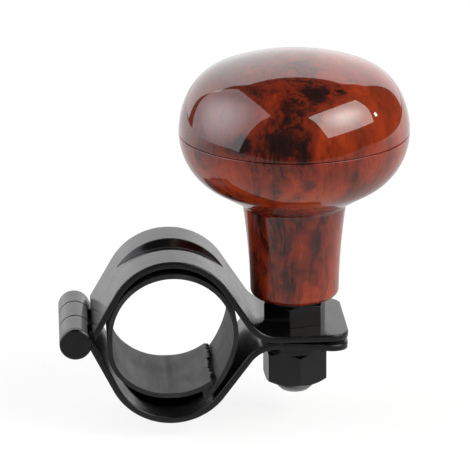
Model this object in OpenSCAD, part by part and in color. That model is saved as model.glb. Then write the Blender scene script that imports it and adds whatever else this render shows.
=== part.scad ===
/* [Knob] */
// radius of the knob at its widest place, where the cap meets the bowl
knob_r = 25.1; // [22:0.1:28]
// height of the seam between cap and bowl above the bore centre
seam_z = 42.5; // [40:0.5:46]
// open width of the seam line
seam_gap = 0.24; // [0.1:0.02:0.4]
// radius of the side of the cap
cap_side_r = 17.9; // [17:0.1:19]
// radius of the shoulder of the cap
cap_shoulder_r = 11.8; // [11:0.1:12.6]
// moulded wall thickness of the cap
cap_wall = 2.6; // [2:0.1:3]
// radius of the rounded side of the bowl
bowl_r = 14.1; // [13.4:0.1:14.8]
// moulded wall thickness of the bowl
bowl_wall = 3.0; // [2.6:0.1:3.4]
// radius of the stem just above its lower edge
stem_r = 9.76; // [9.5:0.02:10.4]
// height of the lower face of the stem
stem_z = 4.95; // [4.7:0.05:5.2]
// rounding of the lower edge of the stem
stem_edge_r = 1.45; // [0.8:0.05:1.6]
// rounding between bowl and stem
neck_r = 1.7; // [1.2:0.1:2.4]

/* [Spindle] */
// distance of the spindle axis outside the round opening
spindle_reach = 14.3; // [13.8:0.1:15.3]
// diameter of the thread at both ends of the spindle
thread_d = 8; // [7.9:0.05:8]
// diameter of the plain journal that the knob turns on
journal_d = 10; // [9.9:0.05:10.2]
// width across flats of the hex collar
collar_af = 12.6; // [12.4:0.1:13]
// upper face of the hex collar
collar_top = 4.0; // [3.8:0.05:4.1]
// lower end of the spindle
spindle_low = -17.3; // [-19:0.1:-16.5]
// upper end of the spindle
spindle_high = 34; // [33.6:0.1:36]
// turn of the hex collar about the spindle axis
collar_turn = -13; // [-30:1:30]

/* [Knob bearing] */
// radial gap between journal and bush
bush_gap = 0.04; // [0.01:0.01:0.1]
// gap between a fitted ring and its seat
seat_gap = 0.02; // [0.01:0.01:0.05]
// outer diameter of the sleeve bush
bush_d = 13; // [12.8:0.1:13.2]
// length of the sleeve bush above its flange
bush_len = 9; // [6:0.5:12]
// thickness of the bush flange
flange_t = 1; // [0.8:0.1:1.2]
// outer diameter of the ball bearing
bearing_d = 16; // [15.8:0.1:16.2]
// width of the ball bearing
bearing_w = 5; // [4.8:0.1:5.2]
// diameter of one ball
ball_d = 2.38; // [2.3:0.02:2.4]
// radial gap between ball and raceway
ball_gap = 0.025; // [0.01:0.005:0.04]

/* [Clamp jaws] */
// width of the two jaws along the rim
jaw_w = 24.4; // [22:0.2:26]
// sheet thickness of the jaws
jaw_t = 1.4; // [1.3:0.05:1.4]
// how much larger the outer radius of the arch is than the round opening
arch_more = 1.1; // [1.1:0.05:1.4]
// distance from the hinge axis to the middle of the arch, beyond the radius of the opening
arch_reach = 7.75; // [7.7:0.05:7.85]
// height of the arch centre above the bore axis
arch_rise = 2.916; // [2.86:0.02:3.06]
// depth of the pressed groove at the top of the arch
groove_depth = 1.5; // [0.8:0.1:1.5]
// width of the floor of the pressed groove
groove_floor = 4.6; // [3:0.2:7]
// width that each side wall of the groove takes up
groove_slope = 1.7; // [1.4:0.1:2.2]
// angle from the top of the arch at which the groove runs out
groove_end = 56; // [50:1:57]
// angle of the arch end towards the tab, from the hinge line
arch_end = 34.85; // [34:0.25:36]
// middle radius of the bend into the tab
bend_r = 7.5; // [6.5:0.1:8]
// lean of the line from hinge to tabs
clamp_lean = 2; // [1.5:0.1:2.5]
// distance from the spindle axis to the end of the tab
tab_past = 11; // [10.8:0.1:12.3]
// rounding of the tab corners
tab_corner = 4; // [2:0.5:6]
// gap between the two jaws where they meet
jaw_gap = 0.04; // [0.02:0.02:0.1]
// clearance radius of the round hole in the upper tab
upper_hole_r = 4.3; // [4.2:0.05:4.5]
// half width of the slotted hole in the lower tab
lower_slot_r = 4.45; // [4.35:0.05:4.6]
// stretch of the slotted hole along the jaw
lower_slot_run = 1.4; // [1.2:0.1:2]

/* [Hinge] */
// distance of the hinge axis outside the round opening
hinge_reach = 8; // [7.95:0.05:8.1]
// height of the hinge axis
hinge_z = -0.7; // [-0.75:0.05:-0.65]
// diameter of the hinge pin
pin_d = 4.1; // [4:0.05:4.1]
// radial gap between pin and knuckles
pin_gap = 0.05; // [0.02:0.01:0.09]
// front end of the middle knuckle
knuckle_front = -4.2; // [-5:0.1:-3.5]
// rear end of the middle knuckle
knuckle_back = 4.9; // [4:0.1:6]
// gap between neighbouring knuckles
knuckle_gap = 0.3; // [0.2:0.05:0.5]
// gap between a knuckle and the cut edge of the other jaw
notch_gap = 0.7; // [0.5:0.1:0.9]
// thickness of the flat pin head
pin_head_t = 0.9; // [0.6:0.1:1.2]

/* [Liner] */
// radius of the round opening inside the liner
bore_r = 13.2; // [12:0.1:15.5]
// thickness of the rubber strip
liner_t = 1.05; // [0.9:0.05:1.05]
// width of the rubber strip
liner_w = 23.4; // [20:0.2:24]
// angle at which the free tail leaves the round opening
tail_start = -15; // [-18:1:-12]
// radius of the free tail
tail_r = 25; // [25:0.5:27]
// angle at which the free tail ends, about its own centre
tail_end = -45; // [-45:0.5:-40]
// angle of the cut end that lies inside
cut_end = -52; // [-60:1:-52]

/* [Clamp nut] */
// width across flats of the nut
nut_af = 13; // [12.6:0.1:13.2]
// height of the nut
nut_h = 7.6; // [6.5:0.1:8]
// turn of the nut about the spindle axis
nut_turn = 5; // [-30:1:30]
// thickness of the spring washer
spring_t = 2.8; // [2:0.1:2.9]
// outer diameter of the spring washer
spring_d = 14.2; // [13.8:0.1:14.8]
// gap between the spring washer and the lower tab at their nearest
spring_gap = 0.02; // [0.01:0.01:0.3]
// width of the cut in the spring washer
spring_cut = 0.8; // [0.4:0.1:1.2]

/* [Hidden] */
$fn = 96;
eps = 0.01;
// step by which a flat runs into a round, so that the two faces cross
blend = 0.004;

// places that follow the size of the round opening
arch_r = bore_r + arch_more;
spindle_x = bore_r + spindle_reach;
hinge_x = -bore_r - hinge_reach;
tab_end = spindle_x - hinge_x + tab_past;
arch_u = bore_r + arch_reach;
arch_w = (arch_rise - hinge_z + arch_u * sin(clamp_lean)) / cos(clamp_lean);

// cap outline, three arcs that meet smoothly
cap_side_a = 28.06;
cap_shoulder_a = 69.37;
function dir(a) = [cos(a), sin(a)];
side_c = [knob_r - cap_side_r, seam_z];
shoulder_c = side_c + (cap_side_r - cap_shoulder_r) * dir(cap_side_a);
crown_r = cap_shoulder_r + shoulder_c[0] / cos(cap_shoulder_a);
crown_z = shoulder_c[1] - shoulder_c[0] * tan(cap_shoulder_a);

// bowl outline
bowl_a = 59;
bowl_c = [knob_r - bowl_r, seam_z];
bowl_t = bowl_c + bowl_r * dir(-bowl_a);
cone_d = [-sin(bowl_a), -cos(bowl_a)];
cone_n = [cos(bowl_a), -sin(bowl_a)];
waist_r = 148;
waist_z = 4.1;
waist_c = [stem_r + waist_r, waist_z];
neck_w = bowl_t + neck_r * cone_n - waist_c;
neck_b = neck_w * cone_d;
neck_k = neck_w * neck_w - (waist_r - neck_r) * (waist_r - neck_r);
neck_s = -neck_b + sqrt(neck_b * neck_b - neck_k);
neck_l = bowl_t + neck_s * cone_d;
neck_c = neck_l + neck_r * cone_n;
neck_q = waist_c + waist_r * (neck_c - waist_c) / norm(neck_c - waist_c);
edge_x = waist_c[0] - sqrt(waist_r * waist_r - pow(stem_z + stem_edge_r - waist_z, 2));
bowl_in_t = bowl_c + (bowl_r - bowl_wall) * dir(-bowl_a);
floor_z = 28.5;
floor_s = (bowl_in_t[1] - floor_z) / cos(bowl_a);
floor_x = bowl_in_t[0] - floor_s * sin(bowl_a);

// seat of the cap in the bowl
lip_drop = 3;
lip_t = 1.65;
rim_wall = 2.5;
lip_gap = 0.05;
lip_out = knob_r - rim_wall - lip_gap;

// heights inside the stem
washer_t = 0.8;
play_z = 0.05;
flange_r = 7.5;
flange_z = collar_top + washer_t + play_z;
thrust_r = 6.9;
bearing_z = 19;
ball_n = 8;
ball_r = ball_d / 2;
race_r = ball_r + ball_gap;
pitch_r = (bearing_d + thread_d) / 4;
shoulder_out = 6.85;
shoulder_in = 5.15;
bearing_mid = bearing_z + bearing_w / 2;
cage_t = 0.9;
cage_h = 3.4;
pocket_r = ball_r + 0.05;
spacer_r = 5;
spacer_t = 1;
lock_z = bearing_z + bearing_w + spacer_t;
lock_af = 13;
lock_h = 6.8;
lock_ring_h = 1.3;
thread_r = thread_d / 2;
thread_gap = 0.03;

// hex shapes
hex_chamfer = 0.6;
hex_flat = 0.97;

// jaw outline in the hinge frame
mid_r = arch_r - jaw_t / 2;
curl_in = pin_d / 2 + pin_gap;
curl_r = curl_in + jaw_t / 2;
curl_out = curl_in + jaw_t;
arch_dist = norm([arch_u, arch_w]);
arch_start = atan2(arch_w, arch_u) + acos(-(mid_r + curl_r) / arch_dist);
arch_c = [arch_u, arch_w];
curl_mouth = 64;
right_top = arch_c + mid_r * dir(arch_end);
tab_half = jaw_t / 2 * cos(clamp_lean) + jaw_gap / 2;
bend_cw = tab_half + bend_r * cos(clamp_lean);
bend_sw = bend_cw - bend_r * sin(arch_end);
right_len = (right_top[1] - bend_sw) / cos(arch_end);
bend_start = right_top + right_len * [sin(arch_end), -cos(arch_end)];
bend_c = bend_start + bend_r * dir(arch_end);
tab_start = bend_c + bend_r * [sin(clamp_lean), -cos(clamp_lean)];
tab_len = tab_end - tab_start[0];
left_n = dir(arch_start);
right_n = dir(arch_end);
tab_n = dir(clamp_lean + 90);
tab_top = hinge_z - sin(clamp_lean) * tab_start[0] + cos(clamp_lean) * (tab_start[1]) + jaw_t / 2;

// underside of the lower tab, which slopes down towards its end, and the washer's place under it
under_p = [cos(clamp_lean) * tab_start[0] - sin(clamp_lean) * tab_start[1],
    -sin(clamp_lean) * tab_start[0] - cos(clamp_lean) * tab_start[1]] + jaw_t / 2 * dir(-2 * clamp_lean - 90);
under_run = spindle_x + spring_d / 2 - hinge_x - under_p[0];
spring_top = hinge_z + under_p[1] - under_run * tan(2 * clamp_lean) - spring_gap;

// groove floor, a flatter arc that crosses the arch at both ends
groove_x = arch_r * sin(groove_end);
groove_y = arch_r * cos(groove_end);
groove_top = arch_r - groove_depth;
groove_c = (groove_x * groove_x + groove_y * groove_y - groove_top * groove_top)
    / (2 * (groove_y - groove_top));
groove_r = groove_top - groove_c;
groove_from = 24;
groove_to = 160;

// liner outline
strip_r = bore_r + liner_t / 2;
strip_drop = 3;
heel_r = 9.5;
heel_end = 225;
heel_c = [heel_r - strip_r, -strip_drop];
heel_p = heel_c + heel_r * dir(heel_end);
sole_bottom = strip_r + 0.08;
sole_r = (heel_p[1] + sole_bottom) / (1 + sin(heel_end));
sole_c = heel_p - sole_r * dir(heel_end);
sole_c2 = [0, sole_c[1]];
tail_c = (strip_r - tail_r) * dir(tail_start);

// prism across the jaw, w wide, over an outline in the hinge frame
module slab(points, w) {
    translate([0, 0, -w / 2])
        linear_extrude(height = w)
            polygon(points);
}

module disc(c, r, w) {
    translate([c[0], c[1], -w / 2]) cylinder(h = w, r = r);
}

// stands a drawing in x and y up so that its depth runs along the rim
module upright() {
    rotate([90, 0, 0]) children();
}

// filled sector of a circle in the drawing plane
module sector(c, r, a0, a1) {
    reach = 3 * r;
    am = (a0 + a1) / 2;
    intersection() {
        translate(c) circle(r = r);
        polygon([c, c + reach * dir(a0), c + reach * dir(am), c + reach * dir(a1)]);
    }
}

// filled half outline of the cap, set in from the outside by d
module cap_outline(d) {
    intersection() {
        union() {
            sector(side_c, cap_side_r - d, 0, cap_side_a);
            sector(shoulder_c, cap_shoulder_r - d, cap_side_a, cap_shoulder_a);
            sector([0, crown_z], crown_r - d, cap_shoulder_a, 90);
            polygon([[0, seam_z], [knob_r - d, seam_z],
                side_c + (cap_side_r - d) * dir(cap_side_a),
                shoulder_c + (cap_shoulder_r - d) * dir(cap_shoulder_a),
                [0, crown_z + crown_r - d]]);
        }
        translate([0, seam_z]) square([2 * knob_r, 2 * knob_r]);
    }
}

module knob_cap() {
    color([0.42, 0.10, 0.05])
        translate([spindle_x, 0, 0])
            rotate_extrude() {
                difference() {
                    cap_outline(0);
                    cap_outline(cap_wall);
                    square([2 * knob_r, seam_z + seam_gap / 2]);
                }
                translate([lip_out - lip_t, seam_z - lip_drop])
                    square([lip_t, 2 * lip_drop]);
            }
}

// filled bowl of side radius r, with its cone down to the point low
module bowl_form(r, low, top) {
    rotate_extrude()
        intersection() {
            translate(bowl_c) circle(r = r);
            translate([0, low[1]]) square([2 * knob_r, top - low[1]]);
        }
    rotate_extrude()
        polygon([[0, seam_z - lip_drop], [bowl_c[0], seam_z - lip_drop], bowl_c + (r - blend) * dir(-bowl_a),
            low, [0, low[1]]]);
}

// stem with room around it for its hollow sides
module stem_form() {
    reach = neck_q[0] + 1;
    rotate_extrude()
        polygon([[0, stem_z], [reach, stem_z], [reach, neck_q[1]], neck_c, neck_l, neck_l + [-1, 1],
            [0, neck_l[1] + 1]]);
}

// hollow of the neck, hollow of the waist and rounding of the lower edge
module stem_hollows() {
    rotate_extrude() translate(neck_c) circle(r = neck_r + blend);
    rotate_extrude()
        intersection() {
            translate(waist_c) circle(r = waist_r, $fn = 720);
            translate([stem_r / 2, stem_z - 1]) square([stem_r, neck_q[1] - stem_z + 1]);
        }
    rotate_extrude()
        difference() {
            translate([edge_x - stem_edge_r, stem_z - 1]) square(stem_edge_r + 1);
            translate([edge_x - stem_edge_r, stem_z + stem_edge_r]) circle(r = stem_edge_r + blend);
        }
}

// round hole upwards from height z
module well(z, h, r) {
    translate([0, 0, z]) cylinder(h = h, r = r);
}

module knob_shell() {
    color([0.42, 0.10, 0.05])
        translate([spindle_x, 0, 0])
            difference() {
                union() {
                    bowl_form(bowl_r, neck_l, seam_z - seam_gap / 2);
                    stem_form();
                }
                stem_hollows();
                bowl_form(bowl_r - bowl_wall, [floor_x, floor_z], seam_z + 1);
                well(seam_z - lip_drop, lip_drop + 1, knob_r - rim_wall);
                well(bearing_z, floor_z - bearing_z + 1, bearing_d / 2 + seat_gap);
                well(stem_z - 1, bearing_z - stem_z + 2, bush_d / 2 + seat_gap);
                well(stem_z - 1, flange_z + flange_t - stem_z + 1, flange_r + seat_gap);
            }
}

module sleeve_bush() {
    color([0.72, 0.52, 0.25])
        translate([spindle_x, 0, flange_z])
            difference() {
                union() {
                    cylinder(h = flange_t, r = flange_r);
                    cylinder(h = flange_t + bush_len, r = bush_d / 2);
                }
                translate([0, 0, -1])
                    cylinder(h = flange_t + bush_len + 2, r = journal_d / 2 + bush_gap);
            }
}

module bearing_outer_race() {
    color([0.70, 0.71, 0.73])
        translate([spindle_x, 0, bearing_mid])
            rotate_extrude()
                difference() {
                    translate([shoulder_out, -bearing_w / 2])
                        square([bearing_d / 2 - shoulder_out, bearing_w]);
                    translate([pitch_r, 0]) circle(r = race_r);
                }
}

module bearing_inner_race() {
    color([0.70, 0.71, 0.73])
        translate([spindle_x, 0, bearing_mid])
            rotate_extrude()
                difference() {
                    translate([thread_r + seat_gap, -bearing_w / 2])
                        square([shoulder_in - thread_r - seat_gap, bearing_w]);
                    translate([pitch_r, 0]) circle(r = race_r);
                }
}

module bearing_cage() {
    color([0.55, 0.50, 0.38])
        translate([spindle_x, 0, bearing_mid])
            difference() {
                translate([0, 0, -cage_h / 2])
                    difference() {
                        cylinder(h = cage_h, r = pitch_r + cage_t / 2);
                        translate([0, 0, -1]) cylinder(h = cage_h + 2, r = pitch_r - cage_t / 2);
                    }
                for (i = [1 : ball_n])
                    rotate([0, 0, i * 360 / ball_n])
                        translate([pitch_r - cage_t, 0, 0])
                            rotate([0, 90, 0])
                                cylinder(h = 2 * cage_t, r = pocket_r);
            }
}

module ball(i) {
    color([0.80, 0.81, 0.83])
        translate([spindle_x, 0, bearing_mid])
            rotate([0, 0, i * 360 / ball_n])
                translate([pitch_r, 0, 0])
                    sphere(r = ball_r);
}

module spacer_washer() {
    color([0.66, 0.67, 0.69])
        translate([spindle_x, 0, bearing_z + bearing_w])
            difference() {
                cylinder(h = spacer_t, r = spacer_r);
                translate([0, 0, -1]) cylinder(h = spacer_t + 2, r = thread_r + thread_gap);
            }
}

// hex prism from z = 0 up, with both ends turned down at the corners
module hex_body(af, h, low, high) {
    corner = af / sqrt(3);
    face = af / 2 * hex_flat;
    drop = (corner - face) * tan(30);
    intersection() {
        linear_extrude(height = h) rotate([0, 0, 30]) circle(r = corner, $fn = 6);
        rotate_extrude()
            polygon([[0, 0], [low ? face : corner + 1, 0], [corner + 1, low ? drop + tan(30) : 0],
                [corner + 1, high ? h - drop - tan(30) : h], [high ? face : corner + 1, h], [0, h]]);
    }
}

module lock_nut() {
    color([0.66, 0.67, 0.69])
        translate([spindle_x, 0, lock_z])
            difference() {
                union() {
                    hex_body(lock_af, lock_h, true, true);
                    cylinder(h = lock_h + lock_ring_h, r = lock_af / 2 - 0.9);
                }
                translate([0, 0, -1])
                    cylinder(h = lock_h + lock_ring_h + 2, r = thread_r + thread_gap);
            }
}

module thrust_washer() {
    color([0.66, 0.67, 0.69])
        translate([spindle_x, 0, collar_top])
            difference() {
                cylinder(h = washer_t, r = thrust_r);
                translate([0, 0, -1]) cylinder(h = washer_t + 2, r = journal_d / 2 + bush_gap);
            }
}

module spindle() {
    tip = 0.8;
    color([0.12, 0.12, 0.13])
        translate([spindle_x, 0, 0]) {
            translate([0, 0, tab_top])
                rotate([0, 0, collar_turn])
                    hex_body(collar_af, collar_top - tab_top, false, true);
            rotate_extrude()
                polygon([[0, spindle_low], [thread_r - tip, spindle_low], [thread_r, spindle_low + tip],
                    [thread_r, tab_top + 1], [journal_d / 2, tab_top + 1], [journal_d / 2, bearing_z],
                    [thread_r, bearing_z], [thread_r, spindle_high - tip], [thread_r - tip, spindle_high],
                    [0, spindle_high]]);
        }
}

// part of a cylinder across the jaw between two positions along the rim
module across(r, y0, y1) {
    translate([0, 0, -y1]) cylinder(h = y1 - y0, r = r);
}

// side section of the pressed groove, with the floor at r0
module groove_section(r0, half_floor, slope, rise, depth) {
    polygon([[r0, -half_floor], [r0, half_floor], [r0 + depth, half_floor + slope],
        [r0 + depth + rise, half_floor + slope], [r0 + depth + rise, -half_floor - slope],
        [r0 + depth, -half_floor - slope]]);
}

// ring that the groove is cut with, about the centre of its floor
module groove_ring(r0, half_floor, slope, depth) {
    translate([arch_u, arch_w + groove_c, 0])
        rotate([0, 0, groove_from])
            rotate_extrude(angle = groove_to - groove_from)
                groove_section(r0, half_floor, slope, 3, depth);
}

// ends of the flat runs, offset by d from the middle of the sheet
function left_low(d) = (curl_r - d - blend) * dir(arch_start + 180);
function left_high(d) = arch_c + (mid_r + d - blend) * left_n;
function right_high(d) = arch_c + (mid_r + d - blend) * right_n;
function right_low(d) = bend_start + (d + blend) * right_n;
function tab_from(d) = tab_start + (d + blend) * tab_n;
function tab_to(d, more) = tab_start + (tab_len + more) * dir(clamp_lean) + d * tab_n;

// everything below the top face of the sheet, and everything below its underside
module above_sheet() {
    d = jaw_t / 2;
    difference() {
        union() {
            slab([left_low(d), left_high(d), arch_c, right_high(d), right_low(d), bend_c, tab_from(d),
                tab_to(d, 0), tab_to(-5, 0), left_low(-5)], jaw_w);
            disc(arch_c, mid_r + d, jaw_w);
        }
        disc(bend_c, bend_r - d, jaw_w + 2);
    }
}

module below_sheet() {
    d = -jaw_t / 2;
    w = jaw_w + 2;
    difference() {
        union() {
            slab([left_low(d) + 8 * dir(arch_start + 90), left_high(d), arch_c, right_high(d), right_low(d),
                bend_c, tab_from(d), tab_to(d, 5), tab_to(-30, 5), [-10, -30]], w);
            disc(arch_c, mid_r + d, w);
        }
        disc(bend_c, bend_r - d, w + 2);
    }
}

// the sheet of one jaw, bent from the hinge over the arch into the tab
module jaw_sheet() {
    difference() {
        above_sheet();
        below_sheet();
        tab_corners();
    }
    intersection() {
        groove_ring(groove_r - jaw_t, groove_floor / 2 + 0.35, groove_slope, groove_depth);
        disc(arch_c, arch_r - 0.35, jaw_w);
    }
}

// what the two rounded corners take off the tab
module tab_corners() {
    side = jaw_w / 2 - tab_corner;
    translate([tab_start[0], tab_start[1], 0])
        rotate([-90, 0, 0])
            rotate([0, clamp_lean, 0])
                for (m = [-1, 1])
                    difference() {
                        translate([tab_len - tab_corner, m * (side + tab_corner) - tab_corner, -2])
                            cube([tab_corner + 1, 2 * tab_corner, 4]);
                        translate([tab_len - tab_corner, m * side, -3]) cylinder(h = 6, r = tab_corner + blend);
                    }
}

// curl of one knuckle around the pin, between two positions along the rim
module curl(y0, y1) {
    difference() {
        across(curl_out, y0, y1);
        slab([[0, 0], left_low(jaw_t / 2), (curl_in - blend) / cos(curl_mouth) * dir(arch_start + 180 + curl_mouth)],
            jaw_w + 2);
    }
}

module upper_jaw() {
    gap = curl_out + notch_gap;
    half = knuckle_gap / 2;
    color([0.05, 0.05, 0.055])
        difference() {
            upright()
                translate([hinge_x, hinge_z, 0])
                    rotate([0, 0, -clamp_lean])
                        difference() {
                            union() {
                                difference() {
                                    jaw_sheet();
                                    across(gap, -jaw_w / 2 - 1, knuckle_front + half);
                                    across(gap, knuckle_back - half, jaw_w / 2 + 1);
                                }
                                curl(knuckle_front + half, knuckle_back - half);
                            }
                            across(curl_in, -jaw_w / 2 - 1, jaw_w / 2 + 1);
                            groove_ring(groove_r, groove_floor / 2, groove_slope, groove_depth);
                        }
            translate([spindle_x, 0, -5]) cylinder(h = 8, r = upper_hole_r);
        }
}

module lower_jaw() {
    gap = curl_out + notch_gap;
    half = knuckle_gap / 2;
    color([0.05, 0.05, 0.055])
        difference() {
            upright()
                translate([hinge_x, hinge_z, 0])
                    rotate([0, 0, -clamp_lean])
                        mirror([0, 1, 0])
                            difference() {
                                union() {
                                    difference() {
                                        jaw_sheet();
                                        across(gap, knuckle_front - half, knuckle_back + half);
                                    }
                                    curl(-jaw_w / 2, knuckle_front - half);
                                    curl(knuckle_back + half, jaw_w / 2);
                                }
                                across(curl_in, -jaw_w / 2 - 1, jaw_w / 2 + 1);
                                groove_ring(groove_r, groove_floor / 2, groove_slope, groove_depth);
                            }
            translate([spindle_x - lower_slot_run / 2, 0, -8]) {
                cylinder(h = 6, r = lower_slot_r);
                translate([0, -lower_slot_r, 0]) cube([lower_slot_run, 2 * lower_slot_r, 6]);
                translate([lower_slot_run, 0, 0]) cylinder(h = 6, r = lower_slot_r);
            }
        }
}

module hinge_pin() {
    head_gap = 0.05;
    head_r = curl_out;
    peen_r = pin_d / 2 + 0.9;
    color([0.05, 0.05, 0.055])
        upright()
            translate([hinge_x, hinge_z, 0]) {
                across(pin_d / 2, -jaw_w / 2 - head_gap - eps, jaw_w / 2 + head_gap + eps);
                translate([0, 0, jaw_w / 2 + head_gap])
                    rotate_extrude()
                        polygon([[0, 0], [head_r, 0], [head_r, pin_head_t - 0.3],
                            [head_r - 0.3, pin_head_t], [0, pin_head_t]]);
                translate([0, 0, -jaw_w / 2 - head_gap - pin_head_t])
                    cylinder(h = pin_head_t, r1 = pin_d / 2, r2 = peen_r);
            }
}

// prism over a sector of a circle, w wide
module wedge(c, r, a0, a1, w) {
    intersection() {
        disc(c, r, w);
        slab([c, c + 2 * r * dir(a0), c + 2 * r * dir((a0 + a1) / 2), c + 2 * r * dir(a1)], w + 2);
    }
}

// filled outline of the round part with the tail, at d from the middle of the strip
module tail_side(d, w) {
    disc([0, 0], strip_r + d, w);
    wedge(tail_c, tail_r + d - blend, tail_end - 4, tail_start, w);
}

// filled outline of the heel and the sole, at d from the middle of the strip
module heel_side(d, w) {
    left = strip_r + d - blend;
    sole = sole_r + d - blend;
    disc([0, 0], strip_r + d, w);
    slab([[0, 0], [-left, 0], [-left, -strip_drop], heel_c], w);
    disc(heel_c, heel_r + d, w);
    wedge(sole_c, sole, heel_end, 270, w);
    slab([[0, 0], sole_c, sole_c - [0, sole - blend], [0, sole_c[1] - sole + blend]], w);
    wedge(sole_c2, sole, 270, 360 + cut_end + 8, w);
}

module liner() {
    t = liner_t / 2;
    far = 3 * strip_r;
    color([0.10, 0.10, 0.11])
        upright() {
            difference() {
                tail_side(t, liner_w);
                tail_side(-t, liner_w + 2);
                slab([[0, far], [-far, far], [-far, -far], tail_c + far * dir(tail_end), tail_c, [0, tail_c[1]]],
                    liner_w + 4);
            }
            difference() {
                heel_side(t, liner_w);
                heel_side(-t, liner_w + 2);
                slab([[0, far], [far, far], [far, -far], sole_c2 + far * dir(cut_end), sole_c2], liner_w + 4);
            }
        }
}

module spring_washer() {
    color([0.06, 0.06, 0.065])
        translate([spindle_x, 0, spring_top - spring_t])
            difference() {
                cylinder(h = spring_t, r = spring_d / 2);
                translate([0, 0, -1]) cylinder(h = spring_t + 2, r = thread_r + 0.2);
                rotate([0, 0, 120])
                    translate([spring_d / 4 + 1, 0, spring_t / 2])
                        rotate([25, 0, 0])
                            cube([spring_d / 2, spring_cut, 3 * spring_t], center = true);
            }
}

module clamp_nut() {
    color([0.05, 0.05, 0.055])
        translate([spindle_x, 0, spring_top - spring_t - nut_h])
            rotate([0, 0, nut_turn])
                difference() {
                    hex_body(nut_af, nut_h, true, true);
                    translate([0, 0, -1]) cylinder(h = nut_h + 2, r = thread_r + thread_gap);
                    translate([0, 0, -eps])
                        cylinder(h = hex_chamfer, r1 = thread_r + hex_chamfer, r2 = thread_r);
                    translate([0, 0, nut_h - hex_chamfer + eps])
                        cylinder(h = hex_chamfer, r1 = thread_r, r2 = thread_r + hex_chamfer);
                }
}

knob_cap();
knob_shell();
sleeve_bush();
bearing_outer_race();
bearing_inner_race();
bearing_cage();
ball(1);  // ball_1
ball(2);  // ball_2
ball(3);  // ball_3
ball(4);  // ball_4
ball(5);  // ball_5
ball(6);  // ball_6
ball(7);  // ball_7
ball(8);  // ball_8
spacer_washer();
lock_nut();
thrust_washer();
spindle();
upper_jaw();
lower_jaw();
hinge_pin();
liner();
spring_washer();
clamp_nut();
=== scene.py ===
import math
import random

import bmesh
import bpy
from mathutils import Matrix, Vector


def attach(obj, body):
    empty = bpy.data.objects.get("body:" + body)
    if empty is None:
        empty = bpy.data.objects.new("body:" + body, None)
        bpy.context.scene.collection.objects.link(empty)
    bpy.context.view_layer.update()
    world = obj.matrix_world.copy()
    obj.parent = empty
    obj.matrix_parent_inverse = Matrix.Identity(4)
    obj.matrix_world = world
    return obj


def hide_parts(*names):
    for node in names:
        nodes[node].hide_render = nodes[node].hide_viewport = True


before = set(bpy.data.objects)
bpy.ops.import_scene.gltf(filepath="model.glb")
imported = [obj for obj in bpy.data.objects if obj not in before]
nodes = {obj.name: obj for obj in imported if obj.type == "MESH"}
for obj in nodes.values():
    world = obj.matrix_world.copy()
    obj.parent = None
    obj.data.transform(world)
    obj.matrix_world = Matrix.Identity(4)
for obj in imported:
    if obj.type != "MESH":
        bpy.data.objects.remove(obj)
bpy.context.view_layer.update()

MM = 0.001
# axis of the knob and the spindle, in metres along X
KNOB_X = 0.0275
# camera fitted to the photo: turns in degrees, focal length in pixels, place in metres
CAM_AZ, CAM_EL, CAM_ROLL = -3.797, 18.674, -0.536
FOCAL_PX, PHOTO_PX, SENSOR_MM = 2836.48, 470, 36
CAM_PLACE = (-0.024579, -0.587809, 0.217967)

scene = bpy.context.scene


def make_camera():
    az, el, roll = math.radians(CAM_AZ), math.radians(CAM_EL), math.radians(CAM_ROLL)
    back = Vector((math.sin(az) * math.cos(el), -math.cos(az) * math.cos(el), math.sin(el)))
    right = Vector((math.cos(az), math.sin(az), 0))
    up = back.cross(right)
    x = math.cos(roll) * right + math.sin(roll) * up
    y = -math.sin(roll) * right + math.cos(roll) * up
    data = bpy.data.cameras.new("camera")
    data.sensor_width = SENSOR_MM
    data.lens = FOCAL_PX * SENSOR_MM / PHOTO_PX
    data.clip_start = 0.01
    data.clip_end = 20
    cam = bpy.data.objects.new("camera", data)
    scene.collection.objects.link(cam)
    m = Matrix((x, y, back)).transposed().to_4x4()
    m.translation = Vector(CAM_PLACE)
    cam.matrix_world = m
    scene.camera = cam


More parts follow.
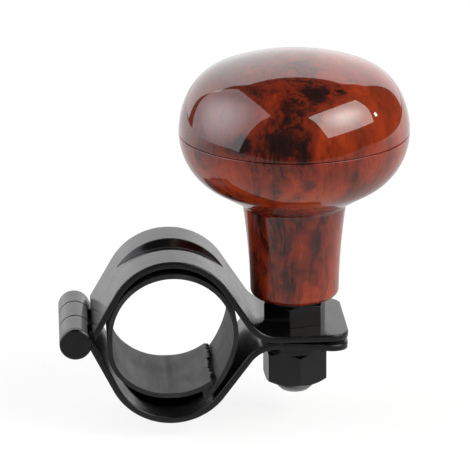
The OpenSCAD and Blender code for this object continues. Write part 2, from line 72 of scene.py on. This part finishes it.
class Mat:
    """Short calls for building a node material."""

    def __init__(self, name):
        self.mat = bpy.data.materials.new(name)
        self.mat.use_nodes = True
        self.tree = self.mat.node_tree
        self.tree.nodes.clear()
        self.out = self.tree.nodes.new("ShaderNodeOutputMaterial")
        self.bsdf = self.tree.nodes.new("ShaderNodeBsdfPrincipled")
        self.link(self.bsdf.outputs[0], self.out.inputs["Surface"])
        coord = self.tree.nodes.new("ShaderNodeTexCoord")
        self.pos = coord.outputs["Object"]

    def link(self, a, b):
        self.tree.links.new(a, b)

    def set(self, **values):
        for key, v in values.items():
            self.bsdf.inputs[key.replace("_", " ")].default_value = v

    def put(self, socket, value):
        if isinstance(value, (int, float, tuple)):
            socket.default_value = value
        else:
            self.link(value, socket)

    def stretch(self, scale, turn=(0, 0, 0), source=None, shift=(0, 0, 0)):
        n = self.tree.nodes.new("ShaderNodeMapping")
        n.inputs["Scale"].default_value = scale
        n.inputs["Rotation"].default_value = turn
        n.inputs["Location"].default_value = shift
        self.link(source or self.pos, n.inputs["Vector"])
        return n.outputs[0]

    def noise(self, scale, detail=4.0, rough=0.55, warp=0.0, vector=None, colour=False):
        n = self.tree.nodes.new("ShaderNodeTexNoise")
        n.inputs["Scale"].default_value = scale
        n.inputs["Detail"].default_value = detail
        n.inputs["Roughness"].default_value = rough
        n.inputs["Distortion"].default_value = warp
        self.link(vector or self.pos, n.inputs["Vector"])
        return n.outputs["Color" if colour else "Fac"]

    def voronoi(self, scale, vector):
        n = self.tree.nodes.new("ShaderNodeTexVoronoi")
        n.inputs["Scale"].default_value = scale
        self.link(vector, n.inputs["Vector"])
        return n.outputs["Distance"]

    def math(self, op, a, b=0.0):
        n = self.tree.nodes.new("ShaderNodeMath")
        n.operation = op
        self.put(n.inputs[0], a)
        self.put(n.inputs[1], b)
        return n.outputs[0]

    def vector(self, op, a, b=(0, 0, 0), c=(0, 0, 0), out="Vector"):
        n = self.tree.nodes.new("ShaderNodeVectorMath")
        n.operation = op
        for socket, v in zip(n.inputs, (a, b, c)):
            self.put(socket, v)
        return n.outputs[out]

    def times(self, a, b):
        return self.math("MULTIPLY", a, b)

    def ramp(self, fac, stops):
        n = self.tree.nodes.new("ShaderNodeValToRGB")
        r = n.color_ramp
        while len(r.elements) < len(stops):
            r.elements.new(0.5)
        for e, (p, c) in zip(r.elements, stops):
            e.position = p
            e.color = (*c, 1)
        self.link(fac, n.inputs["Fac"])
        return n.outputs["Color"]

    def span(self, value, a, b, lo=0.0, hi=1.0):
        n = self.tree.nodes.new("ShaderNodeMapRange")
        n.interpolation_type = "SMOOTHSTEP"
        for key, v in (("From Min", a), ("From Max", b), ("To Min", lo), ("To Max", hi)):
            n.inputs[key].default_value = v
        self.link(value, n.inputs["Value"])
        return n.outputs["Result"]

    def mix(self, fac, a, b):
        n = self.tree.nodes.new("ShaderNodeMix")
        n.data_type = "RGBA"
        self.put(n.inputs[0], fac)
        for socket, v in ((n.inputs[6], a), (n.inputs[7], b)):
            self.put(socket, (*v, 1.0) if isinstance(v, tuple) else v)
        return n.outputs[2]

    def axis(self, name, vector=None):
        n = self.tree.nodes.new("ShaderNodeSeparateXYZ")
        self.link(vector or self.pos, n.inputs[0])
        return n.outputs[name]

    def edge(self, radius):
        """Normal that shades edges as if they had this radius."""
        n = self.tree.nodes.new("ShaderNodeBevel")
        n.samples = 6
        n.inputs["Radius"].default_value = radius
        return n.outputs[0]

    def bump(self, height, strength, distance, normal=None):
        n = self.tree.nodes.new("ShaderNodeBump")
        n.inputs["Strength"].default_value = strength
        n.inputs["Distance"].default_value = distance
        self.link(height, n.inputs["Height"])
        if normal is not None:
            self.link(normal, n.inputs["Normal"])
        return n.outputs[0]

    def worn(self, radius, lo, hi):
        """Mask of convex edges, from the difference between rounded and true normal."""
        n = self.tree.nodes.new("ShaderNodeVectorMath")
        n.operation = "DOT_PRODUCT"
        g = self.tree.nodes.new("ShaderNodeNewGeometry")
        self.link(self.edge(radius), n.inputs[0])
        self.link(g.outputs["Normal"], n.inputs[1])
        return self.span(n.outputs["Value"], hi, lo)


# dark knots of the burl print: place from the knob axis, height and radius, in millimetres
KNOTS = [
    (3.0, -18.4, 55.5, 2.6), (4.6, -17.3, 55.9, 1.7), (8.0, -16.5, 55.7, 1.5), (9.6, -14.8, 56.1, 0.9),
    (11.2, -12.8, 56.3, 1.5), (-3.3, -20.8, 53.5, 1.6), (-2.9, -22.5, 51.4, 1.2), (-4.8, -23.9, 47.0, 4.2),
    (-1.0, -24.7, 45.4, 3.0), (-13.6, -20.6, 44.9, 3.2), (-4.5, -9.5, 19.0, 0.75), (3.2, -9.7, 18.6, 2.4),
    (1.2, -10.0, 14.2, 2.9), (-2.6, -9.6, 10.2, 2.8), (4.9, -9.2, 24.4, 1.3), (0.2, -24.0, 38.6, 1.6),
    (10.8, -22.0, 39.6, 1.2), (21.0, 8.0, 49.0, 4.0), (-8.0, 20.0, 47.0, 4.5), (14.0, 19.0, 40.0, 3.6),
    (-20.0, 10.0, 52.0, 3.2), (2.0, 12.0, 57.5, 3.0), (6.0, 8.5, 14.0, 2.8), (-8.0, 6.0, 22.0, 2.4),
]


# a knot below this height is tall and soft, in millimetres
LOW_KNOT, KNOT_SQUASH = 43, 0.6
BURL_TONES = [
    (0.36, (0.0110, 0.0028, 0.0020)), (0.43, (0.050, 0.0050, 0.0016)), (0.48, (0.135, 0.0105, 0.0018)),
    (0.54, (0.240, 0.0220, 0.0022)), (0.61, (0.350, 0.0420, 0.0036)), (0.70, (0.430, 0.0650, 0.0055)),
]
SPECK, LIGHT_SIDE = (0.34, 0.034, 0.0026), (0.40, 0.045, 0.004)
VEIN, STEM_LINE = (0.018, 0.0036, 0.0026), (0.026, 0.0045, 0.003)
DARK_SIDE, KNOT = (0.020, 0.0045, 0.0035), (0.0085, 0.0034, 0.0034)


def burl():
    """Burl wood print, warped noise in red and brown with dark knots, under a clear coat."""
    m = Mat("burl_gloss")
    knob = m.stretch((1, 1, 1), shift=(-KNOB_X, 0, 0))
    z = m.axis("Z")
    bend = m.noise(70, 3, 0.5, vector=knob, colour=True)
    shift = m.vector("SUBTRACT", bend, (0.5, 0.5, 0.5))
    w = m.vector("MULTIPLY_ADD", shift, (0.0065, 0.0065, 0.011), knob)
    bend = m.noise(520, 2, 0.6, vector=knob, colour=True)
    fine_bend = m.vector("SUBTRACT", bend, (0.5, 0.5, 0.5))
    w2 = m.vector("MULTIPLY_ADD", fine_bend, (0.0035, 0.0035, 0.0045), w)
    large = m.noise(84, 5, 0.62, 0.25, vector=m.stretch((1, 1, 0.55), source=w))
    flame = m.noise(310, 5, 0.68, 0.35, vector=m.stretch((1, 1, 0.32), (0.1, 0.2, 0), source=w))
    fine = m.noise(820, 4, 0.62, 0.5, vector=m.stretch((1, 1, 0.3), source=w))
    tone = m.math("ADD", m.times(large, 0.72), m.times(flame, 0.28))
    colour = m.ramp(tone, BURL_TONES)
    speck = m.span(fine, 0.40, 0.62)
    colour = m.mix(m.times(speck, 0.36), colour, SPECK)
    veins = m.noise(380, 3, 0.6, 0.4, vector=m.stretch((1, 1, 0.16), (0, 0.12, 0), source=w))
    colour = m.mix(m.times(m.span(veins, 0.42, 0.33), 0.4), colour, VEIN)
    stem = m.span(z, 0.030, 0.024)
    lines = m.noise(520, 3, 0.6, 0.3, vector=m.stretch((1, 1, 0.07), source=w))
    colour = m.mix(m.times(m.times(m.span(lines, 0.50, 0.36), stem), 0.55), colour, STEM_LINE)
    side = m.axis("X", knob)
    high = m.span(z, 0.039, 0.045)
    left = m.span(side, -0.004, -0.014)
    colour = m.mix(m.times(m.times(left, high), 0.62), colour, DARK_SIDE)
    colour = m.mix(m.times(m.span(side, 0.002, 0.014), 0.32), colour, LIGHT_SIDE)
    dark = None
    tall = m.vector("MULTIPLY", w2, (1, 1, KNOT_SQUASH))
    for x, y, h, r in KNOTS:
        if h < LOW_KNOT:
            place = (x * MM, y * MM, h * MM * KNOT_SQUASH)
            far = m.vector("DISTANCE", tall, place, out="Value")
            spot = m.span(far, r * 1.35 * MM, r * 0.2 * MM, 0, 0.72)
        else:
            far = m.vector("DISTANCE", w2, (x * MM, y * MM, h * MM), out="Value")
            spot = m.span(far, r * 1.2 * MM, r * 0.5 * MM)
        dark = spot if dark is None else m.math("MAXIMUM", dark, spot)
    eyes = m.span(m.voronoi(260, vector=w2), 0.14, 0.06)
    gate = m.span(m.noise(60, 2, 0.5, vector=knob), 0.56, 0.66, 0, 0.7)
    dark = m.math("MAXIMUM", dark, m.times(eyes, gate))
    colour = m.mix(m.times(dark, 0.92), colour, KNOT)
    m.link(colour, m.bsdf.inputs["Base Color"])
    m.link(m.span(fine, 0.3, 0.7, 0.42, 0.55), m.bsdf.inputs["Roughness"])
    m.set(IOR=1.4, Specular_IOR_Level=0.12)
    m.set(Coat_Weight=1.0, Coat_Roughness=0.03, Coat_IOR=1.85)
    ripple = m.noise(85, 2, 0.5, vector=knob)
    m.link(m.bump(ripple, 0.2, 0.00025), m.bsdf.inputs["Coat Normal"])
    grain = m.math("ADD", ripple, m.times(fine, 0.15))
    m.link(m.bump(grain, 0.3, 0.0003), m.bsdf.inputs["Normal"])
    return m.mat


PAINT_BASE, PAINT_ROUGH, PAINT_WORN = 0.0032, 0.2, (0.09, 0.09, 0.095)
ZINC_DARK, ZINC_LIGHT = (0.42, 0.43, 0.42), (0.62, 0.63, 0.61)
THREAD_PITCH, THREAD_ROOT, THREAD_TOP = 0.00125, 0.0034, 0.0038
# heights between which the stud's paint goes over into bare thread, in metres
BARE_FROM, BARE_FULL = -0.0020, -0.0026


def black_paint(name, edge=0.0003, thread=False):
    """Gloss paint with orange peel, a little worn on edges; thread adds bare zinc thread low on the stud."""
    m = Mat(name)
    soft = m.noise(260, 4, 0.6)
    peel = m.noise(1500, 2, 0.5)
    tint = m.ramp(m.noise(90, 3, 0.6), [
        (0.3, (PAINT_BASE * 0.75, PAINT_BASE * 0.76, PAINT_BASE * 0.8)),
        (0.7, (PAINT_BASE * 1.35, PAINT_BASE * 1.35, PAINT_BASE * 1.4)),
    ])
    worn = m.times(m.worn(0.0004, 0.90, 0.985), m.span(soft, 0.44, 0.66))
    colour = m.mix(m.times(worn, 0.35), tint, PAINT_WORN)
    roughness = m.span(soft, 0.25, 0.75, PAINT_ROUGH * 0.8, PAINT_ROUGH * 1.25)
    height = m.math("ADD", m.times(peel, 0.35), m.times(soft, 0.8))
    normal = m.bump(height, 0.22, 0.00008, m.edge(edge))
    if thread:
        z = m.axis("Z")
        x = m.math("SUBTRACT", m.axis("X"), KNOB_X)
        y = m.axis("Y")
        turn = m.math("DIVIDE", m.math("ARCTAN2", y, x), 2 * math.pi)
        wave = m.math("PINGPONG", m.math("SUBTRACT", m.times(z, 1 / THREAD_PITCH), turn), 0.5)
        radius = m.math("SQRT", m.math("ADD", m.math("POWER", x, 2), m.math("POWER", y, 2)))
        side = m.span(radius, THREAD_ROOT, THREAD_TOP)
        low = m.span(z, BARE_FROM, BARE_FULL)
        zinc = m.mix(m.span(soft, 0.3, 0.7), ZINC_DARK, ZINC_LIGHT)
        colour = m.mix(low, colour, zinc)
        m.link(low, m.bsdf.inputs["Metallic"])
        roughness = m.math("ADD", roughness, m.times(low, 0.12))
        normal = m.bump(m.times(wave, m.times(side, low)), 1.0, 0.0009, normal)
    m.link(colour, m.bsdf.inputs["Base Color"])
    m.link(roughness, m.bsdf.inputs["Roughness"])
    m.link(normal, m.bsdf.inputs["Normal"])
    m.set(IOR=1.6)
    return m.mat


RUBBER_TONES = [(0.32, (0.010, 0.010, 0.011)), (0.52, (0.019, 0.019, 0.020)), (0.7, (0.038, 0.038, 0.039))]
RUBBER_DUST = (0.11, 0.11, 0.11)


def rubber():
    """Black rubber with streaks along the strip and a little dust."""
    m = Mat("liner_rubber")
    grain = m.noise(1700, 4, 0.7)
    wide = m.noise(130, 4, 0.6, 0.5)
    streak = m.noise(420, 3, 0.6, vector=m.stretch((1, 0.14, 1)))
    tone = m.math("ADD", m.times(wide, 0.6), m.times(streak, 0.4))
    dust = m.times(m.span(grain, 0.6, 0.78), 0.25)
    m.link(m.mix(dust, m.ramp(tone, RUBBER_TONES), RUBBER_DUST), m.bsdf.inputs["Base Color"])
    m.link(m.span(tone, 0.3, 0.7, 0.42, 0.56), m.bsdf.inputs["Roughness"])
    height = m.math("ADD", m.times(grain, 0.4), m.times(streak, 0.6))
    m.link(m.bump(height, 0.35, 0.00012, m.edge(0.00025)), m.bsdf.inputs["Normal"])
    m.set(IOR=1.5)
    return m.mat


def metal(name, colour, rough, stretch=(1, 1, 1), metallic=1.0):
    """Plain metal with fine grain and faint stains; metallic=0 makes it a plastic."""
    m = Mat(name)
    grain = m.noise(900, 3, 0.6, vector=m.stretch(stretch))
    stain = m.noise(160, 4, 0.6)
    dark = tuple(c * 0.72 for c in colour)
    m.link(m.mix(m.span(stain, 0.3, 0.7), dark, colour), m.bsdf.inputs["Base Color"])
    m.link(m.span(grain, 0.3, 0.7, rough * 0.8, rough * 1.3), m.bsdf.inputs["Roughness"])
    m.link(m.bump(grain, 0.2, 0.00005, m.edge(0.00012)), m.bsdf.inputs["Normal"])
    m.set(Metallic=metallic)
    return m.mat


def dress(name, mat):
    o = nodes[name]
    o.data.materials.clear()
    o.data.materials.append(mat)


def mesh_piece(name, verts, faces, mat, body):
    me = bpy.data.meshes.new(name)
    me.from_pydata([tuple(v) for v in verts], [], faces)
    me.validate()
    me.polygons.foreach_set("use_smooth", [True] * len(me.polygons))
    me.materials.append(mat)
    o = bpy.data.objects.new(name, me)
    scene.collection.objects.link(o)
    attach(o, body)
    return o


def lathe(name, outline, mat, closed=True, turns=256):
    """Piece of the knob turned from an outline of (radius, height) in metres.

    Repeated points keep an edge sharp. An outline that starts and ends on the axis isn't closed."""
    verts, rows = [], []
    for r, z in outline:
        if r < 1e-7:
            rows.append([len(verts)])
            verts.append((KNOB_X, 0, z))
            continue
        rows.append(range(len(verts), len(verts) + turns))
        for k in range(turns):
            t = 2 * math.pi * k / turns
            verts.append((KNOB_X + r * math.cos(t), r * math.sin(t), z))
    faces = []
    pairs = list(zip(rows, rows[1:] + rows[:1] if closed else rows[1:]))
    for (a, b), (pa, pb) in zip(pairs, zip(outline, outline[1:] + outline[:1])):
        if math.hypot(pa[0] - pb[0], pa[1] - pb[1]) < 1e-7:
            continue
        for k in range(turns):
            j = (k + 1) % turns
            if len(a) == 1:
                faces.append((a[0], b[k], b[j]))
            elif len(b) == 1:
                faces.append((a[k], b[0], a[j]))
            else:
                faces.append((a[k], b[k], b[j], a[j]))
    return mesh_piece(name, verts, faces, mat, "knob")


def arc(c, r, a0, a1, n):
    """Points on an arc from angle a0 to a1, in degrees."""
    return [(c[0] + r * math.cos(math.radians(a0 + (a1 - a0) * k / n)),
             c[1] + r * math.sin(math.radians(a0 + (a1 - a0) * k / n))) for k in range(n + 1)]


def in_metres(pts):
    return [(max(p[0], 0) * MM, p[1] * MM) for p in pts]


def unit(a):
    return Vector((math.cos(math.radians(a)), math.sin(math.radians(a))))


def knob_pieces(mat):
    """Both mouldings of the knob, turned finer than the CAD's meshes, in millimetres."""
    knob_r, seam_z, gap, lip = 25.1, 42.5, 0.16, 0.12
    side_r, side_a, side_end = 17.9, 28.06, 1.2
    shoulder_r, crown_a, cap_wall = 11.8, 69.37, 2.6
    mouth_r, lip_out, lip_in, lip_top = 22.6, 22.55, 20.9, 22.1
    lip_low, lip_high = seam_z - 3, seam_z + 3
    side_c = Vector((knob_r - side_r, seam_z))
    shoulder_c = side_c + (side_r - shoulder_r) * unit(side_a)
    crown_r = shoulder_r + shoulder_c.x / math.cos(math.radians(crown_a))
    crown_c = (0, shoulder_c.y - shoulder_c.x * math.tan(math.radians(crown_a)))

    outer = arc(crown_c, crown_r, 90, crown_a, 22)[:-1]
    outer += arc(shoulder_c, shoulder_r, crown_a, side_a, 30)[:-1]
    outer += arc(side_c, side_r, side_a, side_end, 22)
    outer += arc((knob_r - lip, seam_z + gap / 2 + lip), lip, 0, -90, 5)
    corners = [(mouth_r, seam_z + gap / 2), (lip_out, lip_low), (lip_in, lip_low), (lip_in, lip_high),
               (lip_top, lip_high)]
    under = [p for p in corners for _ in range(2)]
    inner = arc(side_c, side_r - cap_wall, 12, side_a, 10)[1:-1]
    inner += arc(shoulder_c, shoulder_r - cap_wall, side_a, crown_a, 16)[:-1]
    inner += arc(crown_c, crown_r - cap_wall, crown_a, 90, 12)
    cap = lathe("knob_cap_skin", in_metres(outer + under + inner), mat, closed=False)
    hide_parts("knob_cap")

    bowl_r, bowl_a, bowl_wall = 14.1, 59, 3
    waist_r, neck_r, stem_r, waist_z = 148, 1.7, 9.76, 4.1
    low, round_r = 4.95, 1.45
    bowl_c = Vector((knob_r - bowl_r, seam_z))
    bowl_t = bowl_c + bowl_r * unit(-bowl_a)
    cone_d = Vector((-math.sin(math.radians(bowl_a)), -math.cos(math.radians(bowl_a))))
    cone_n = unit(-bowl_a)
    waist_c = Vector((stem_r + waist_r, waist_z))
    w = bowl_t + neck_r * cone_n - waist_c
    b = w.dot(cone_d)
    s = -b + math.sqrt(b * b - (w.dot(w) - (waist_r - neck_r) ** 2))
    neck_l = bowl_t + s * cone_d
    neck_c = neck_l + neck_r * cone_n
    neck_q = waist_c + waist_r * (neck_c - waist_c).normalized()

    def waist(z):
        return waist_c.x - math.sqrt(waist_r ** 2 - (z - waist_c.y) ** 2)

    edge_x = waist(low + round_r)
    a0 = math.degrees(math.atan2(neck_l.y - neck_c.y, neck_l.x - neck_c.x)) % 360
    a1 = math.degrees(math.atan2(neck_q.y - neck_c.y, neck_q.x - neck_c.x)) % 360
    outer = [(mouth_r, seam_z - gap / 2)] * 2
    outer += arc((knob_r - lip, seam_z - gap / 2 - lip), lip, 90, 0, 5)
    outer += arc(bowl_c, bowl_r, -side_end, -bowl_a, 50)
    outer += [tuple(bowl_t.lerp(neck_l, k / 6)) for k in range(1, 6)]
    outer += arc(neck_c, neck_r, a0, a1, 12)
    heights = [neck_q.y + (low + round_r - neck_q.y) * k / 16 for k in range(1, 16)]
    outer += [(waist(z), z) for z in heights]
    outer += arc((edge_x - round_r, low + round_r), round_r, 0, -90, 12)
    # bore for the bush, seat of the bearing and floor of the bowl
    corners = [(7.52, low), (7.52, 5.85), (6.52, 5.85), (6.52, 19), (8.02, 19), (8.02, 28.5), (9.25, 28.5)]
    inside = [p for p in corners for _ in range(2)]
    inside += arc(bowl_c, bowl_r - bowl_wall, -bowl_a, -16, 20) + [(mouth_r, lip_low)] * 2
    shell = lathe("knob_shell_skin", in_metres(outer + inside), mat)
    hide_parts("knob_shell")


def liner_piece(mat):
    """Rubber strip, bent along its centre line, with the torn end that lies inside, in millimetres."""
    bore_r, liner_t, width = 13.2, 1.05, 23.4
    strip_r = bore_r + liner_t / 2
    tail_r, heel_r, drop, sag = 25, 9.5, 3, 0.08
    tail_end, tail_a, heel_a, sole_a, cut_a = -45, -15, 225, 270, 302
    rows, tips, torn_thin = 96, 6, 0.45
    tail_c = (strip_r - tail_r) * unit(tail_a)
    heel_c = Vector((heel_r - strip_r, -drop))
    heel_p = heel_c + heel_r * unit(heel_a)
    sole_r = (heel_p.y + strip_r + sag) / (1 + math.sin(math.radians(heel_a)))
    sole_c = heel_p - sole_r * unit(heel_a)
    sole_c2 = Vector((0, sole_c.y))
    line = arc(tail_c, tail_r, tail_end, tail_a, 26)[:-1] + arc((0, 0), strip_r, tail_a, 180, 120)
    line += arc(heel_c, heel_r, 180, heel_a, 26) + arc(sole_c, sole_r, heel_a, sole_a, 24)[1:]
    line += arc(sole_c2, sole_r, sole_a, cut_a, 22)
    line = [Vector(p) for p in line]
    # unevenness of the torn edge across the strip, smoothed twice
    rng = random.Random(7)
    tear = [rng.uniform(-1, 1) for _ in range(rows + 1)]
    for _ in range(2):
        tear = [(tear[max(k - 1, 0)] + tear[k] * 2 + tear[min(k + 1, rows)]) / 4 for k in range(rows + 1)]
    verts, faces = [], []
    half = liner_t / 2
    count = len(line) + tips
    for row in range(rows + 1):
        v = row / rows
        y = (v - 0.5) * width
        # how far the strip goes on past cut_a in this row, in degrees
        reach = 6.0 + 2.4 * tear[row] + 0.9 * math.sin(9 * v + 0.6) - 0.9 * math.exp(-v * 9)
        pts = line + [sole_c2 + sole_r * unit(cut_a + reach * (k + 1) / tips) for k in range(tips)]
        for k, point in enumerate(pts):
            before, after = pts[max(k - 1, 0)], pts[min(k + 1, count - 1)]
            n = (after - before).normalized()
            n = Vector((n.y, -n.x))
            thin = torn_thin if k == count - 1 else 1.0
            for side in (1, -1):
                q = point + n * half * thin * side
                verts.append((q.x * MM, y * MM, q.y * MM))
    ring = 2 * count
    for row in range(rows):
        a = row * ring
        for k in range(count - 1):
            i = a + 2 * k
            faces.append((i, i + 2, i + 2 + ring, i + ring))
            faces.append((i + 1, i + 1 + ring, i + 3 + ring, i + 3))
        faces.append((a, a + ring, a + ring + 1, a + 1))
        end = a + ring - 2
        faces.append((end, end + 1, end + 1 + ring, end + ring))
    for a in (0, rows * ring):
        for k in range(count - 1):
            i = a + 2 * k
            faces.append((i, i + 1, i + 3, i + 2))
    strip = mesh_piece("liner_strip", verts, faces, mat, "clamp")
    bm = bmesh.new()
    bm.from_mesh(strip.data)
    bmesh.ops.recalc_face_normals(bm, faces=bm.faces)
    bm.to_mesh(strip.data)
    bm.free()
    strip.data.set_sharp_from_angle(angle=math.radians(40))
    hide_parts("liner")


WHITE_PAPER = (0.9, 0.9, 0.9)
# places along Y between which the floor's level in reflections goes from front to glossy
FLOOR_DARK_Y, FLOOR_LIGHT_Y = -0.16, 0.30


def emit_mat(name, shade, camera=1.0, glossy=1.0, front=None):
    """White surface with its own levels to camera and reflections; shade is the part of shadows it keeps."""
    mat = bpy.data.materials.new(name)
    mat.use_nodes = True
    t = mat.node_tree
    t.nodes.clear()
    out = t.nodes.new("ShaderNodeOutputMaterial")
    diffuse = t.nodes.new("ShaderNodeBsdfDiffuse")
    diffuse.inputs["Color"].default_value = (*WHITE_PAPER, 1)
    glow = t.nodes.new("ShaderNodeEmission")
    glow.inputs["Color"].default_value = (1, 1, 1, 1)
    path = t.nodes.new("ShaderNodeLightPath")
    level = t.nodes.new("ShaderNodeMath")
    level.operation = "MULTIPLY_ADD"
    t.links.new(path.outputs["Is Camera Ray"], level.inputs[0])
    level.inputs[1].default_value = camera
    g = t.nodes.new("ShaderNodeMath")
    g.operation = "MULTIPLY"
    t.links.new(path.outputs["Is Glossy Ray"], g.inputs[0])
    g.inputs[1].default_value = glossy
    if front is not None:
        place = t.nodes.new("ShaderNodeTexCoord")
        parts = t.nodes.new("ShaderNodeSeparateXYZ")
        t.links.new(place.outputs["Object"], parts.inputs[0])
        level_y = t.nodes.new("ShaderNodeMapRange")
        level_y.interpolation_type = "SMOOTHSTEP"
        ends = (FLOOR_DARK_Y, FLOOR_LIGHT_Y, front, glossy)
        for key, v in zip(("From Min", "From Max", "To Min", "To Max"), ends):
            level_y.inputs[key].default_value = v
        t.links.new(parts.outputs["Y"], level_y.inputs["Value"])
        t.links.new(level_y.outputs["Result"], g.inputs[1])
    t.links.new(g.outputs[0], level.inputs[2])
    t.links.new(level.outputs[0], glow.inputs["Strength"])
    share = t.nodes.new("ShaderNodeMath")
    share.operation = "MULTIPLY_ADD"
    t.links.new(path.outputs["Is Camera Ray"], share.inputs[0])
    share.inputs[1].default_value = 1 - shade
    t.links.new(path.outputs["Is Glossy Ray"], share.inputs[2])
    mix = t.nodes.new("ShaderNodeMixShader")
    t.links.new(share.outputs[0], mix.inputs[0])
    t.links.new(diffuse.outputs[0], mix.inputs[1])
    t.links.new(glow.outputs[0], mix.inputs[2])
    t.links.new(mix.outputs[0], out.inputs["Surface"])
    return mat


def panel(name, corners, mat):
    me = bpy.data.meshes.new(name)
    me.from_pydata(corners, [], [tuple(range(len(corners)))])
    me.materials.append(mat)
    o = bpy.data.objects.new(name, me)
    scene.collection.objects.link(o)


LAMP_AIM, LAMP_FAR, LAMP_EDGE = (0.012, 0, 0.03), 0.9, 0.6


def area(name, az, el, size, power, colour=(1, 1, 1), hot=1.5):
    """Soft lamp in the direction az, el from the object; azimuth 0 is the camera's side, then to the right.

    Its level falls from hot in the middle to LAMP_EDGE at the edge."""
    a, e = math.radians(az), math.radians(el)
    way = Vector((math.sin(a) * math.cos(e), -math.cos(a) * math.cos(e), math.sin(e)))
    data = bpy.data.lights.new(name, "AREA")
    data.shape = "RECTANGLE"
    data.size, data.size_y = size
    data.energy = power
    data.color = colour
    o = bpy.data.objects.new(name, data)
    scene.collection.objects.link(o)
    data.use_nodes = True
    t = data.node_tree
    t.nodes.clear()
    out = t.nodes.new("ShaderNodeOutputLight")
    glow = t.nodes.new("ShaderNodeEmission")
    geo = t.nodes.new("ShaderNodeNewGeometry")
    far = t.nodes.new("ShaderNodeVectorMath")
    far.operation = "DISTANCE"
    far.inputs[1].default_value = (0.5, 0.5, 0)
    t.links.new(geo.outputs["Parametric"], far.inputs[0])
    fall = t.nodes.new("ShaderNodeMapRange")
    fall.interpolation_type = "SMOOTHSTEP"
    for key, v in (("From Min", 0.0), ("From Max", 0.5), ("To Min", hot), ("To Max", LAMP_EDGE)):
        fall.inputs[key].default_value = v
    t.links.new(far.outputs["Value"], fall.inputs["Value"])
    t.links.new(fall.outputs["Result"], glow.inputs["Strength"])
    t.links.new(glow.outputs[0], out.inputs[0])
    q = way.to_track_quat("Z", "Y")
    o.matrix_world = Matrix.Translation(Vector(LAMP_AIM) + way * LAMP_FAR) @ q.to_matrix().to_4x4()


# floor just under the lowest pose, and the wall behind, in metres
FLOOR_Z, FLOOR_X, FLOOR_NEAR, FLOOR_FAR = -0.0236, 0.75, -0.30, 1.25
BACK_X, BACK_Y, BACK_TOP = 1.1, 1.2, 1.33
# grey levels of the room as light and as seen in reflections
ROOM_LIGHT, ROOM_GLOSSY = (0.28, 0.28, 0.28, 1), (0.030, 0.029, 0.028, 1)


def studio():
    floor = emit_mat("floor_white", 0.2, camera=1.06, front=0.24)
    sides = ((-FLOOR_X, FLOOR_NEAR), (FLOOR_X, FLOOR_NEAR), (FLOOR_X, FLOOR_FAR), (-FLOOR_X, FLOOR_FAR))
    panel("floor", [(x, y, FLOOR_Z) for x, y in sides], floor)
    back = emit_mat("backdrop_white", 0.0, glossy=1.3)
    sides = ((-BACK_X, FLOOR_Z), (BACK_X, FLOOR_Z), (BACK_X, BACK_TOP), (-BACK_X, BACK_TOP))
    panel("backdrop", [(x, BACK_Y, z) for x, z in sides], back)
    world = bpy.data.worlds.new("studio")
    scene.world = world
    world.use_nodes = True
    t = world.node_tree
    t.nodes.clear()
    out = t.nodes.new("ShaderNodeOutputWorld")
    bg = t.nodes.new("ShaderNodeBackground")
    path = t.nodes.new("ShaderNodeLightPath")
    room = t.nodes.new("ShaderNodeMix")
    room.data_type = "RGBA"
    t.links.new(path.outputs["Is Glossy Ray"], room.inputs[0])
    room.inputs[6].default_value = ROOM_LIGHT
    room.inputs[7].default_value = ROOM_GLOSSY
    mix = t.nodes.new("ShaderNodeMix")
    mix.data_type = "RGBA"
    t.links.new(path.outputs["Is Camera Ray"], mix.inputs[0])
    t.links.new(room.outputs[2], mix.inputs[6])
    mix.inputs[7].default_value = (1, 1, 1, 1)
    t.links.new(mix.outputs[2], bg.inputs["Color"])
    bg.inputs["Strength"].default_value = 1.0
    t.links.new(bg.outputs[0], out.inputs["Surface"])
    area("box_left", -92, 28.5, (1.40, 1.33), 10.5, colour=(0.96, 0.93, 1.0), hot=1.7)
    area("box_right", 57, 37, (0.95, 0.64), 8.5, colour=(1.0, 0.94, 0.88))
    area("window", 92, 20, (0.05, 0.06), 0.12)


make_camera()
wood = burl()
paint = black_paint("black_gloss")
sheet_paint = black_paint("black_gloss_sheet", edge=0.0008)
stud = black_paint("black_gloss_stud", thread=True)
steel = metal("ground_steel", (0.56, 0.57, 0.58), 0.22)
zinc = metal("bright_zinc", (0.60, 0.61, 0.60), 0.3)
dark_steel = metal("dark_steel", (0.09, 0.09, 0.095), 0.42)
bronze = metal("plain_bronze", (0.55, 0.36, 0.16), 0.32, (1, 1, 0.1))
chrome = metal("ball_chrome", (0.75, 0.76, 0.77), 0.08)
nylon = metal("cage_nylon", (0.50, 0.45, 0.33), 0.5, metallic=0.0)
liner = rubber()
for n in ("upper_jaw", "lower_jaw"):
    dress(n, sheet_paint)
for n in ("hinge_pin", "clamp_nut", "spring_washer"):
    dress(n, paint)
dress("spindle", stud)
dress("sleeve_bush", bronze)
dress("bearing_cage", nylon)
for n in ("bearing_outer_race", "bearing_inner_race"):
    dress(n, steel)
for n in ("spacer_washer", "lock_nut"):
    dress(n, zinc)
dress("thrust_washer", dark_steel)
for k in range(1, 9):
    dress(f"ball_{k}", chrome)
knob_pieces(wood)
liner_piece(liner)
studio()
scene.view_settings.view_transform = "Standard"
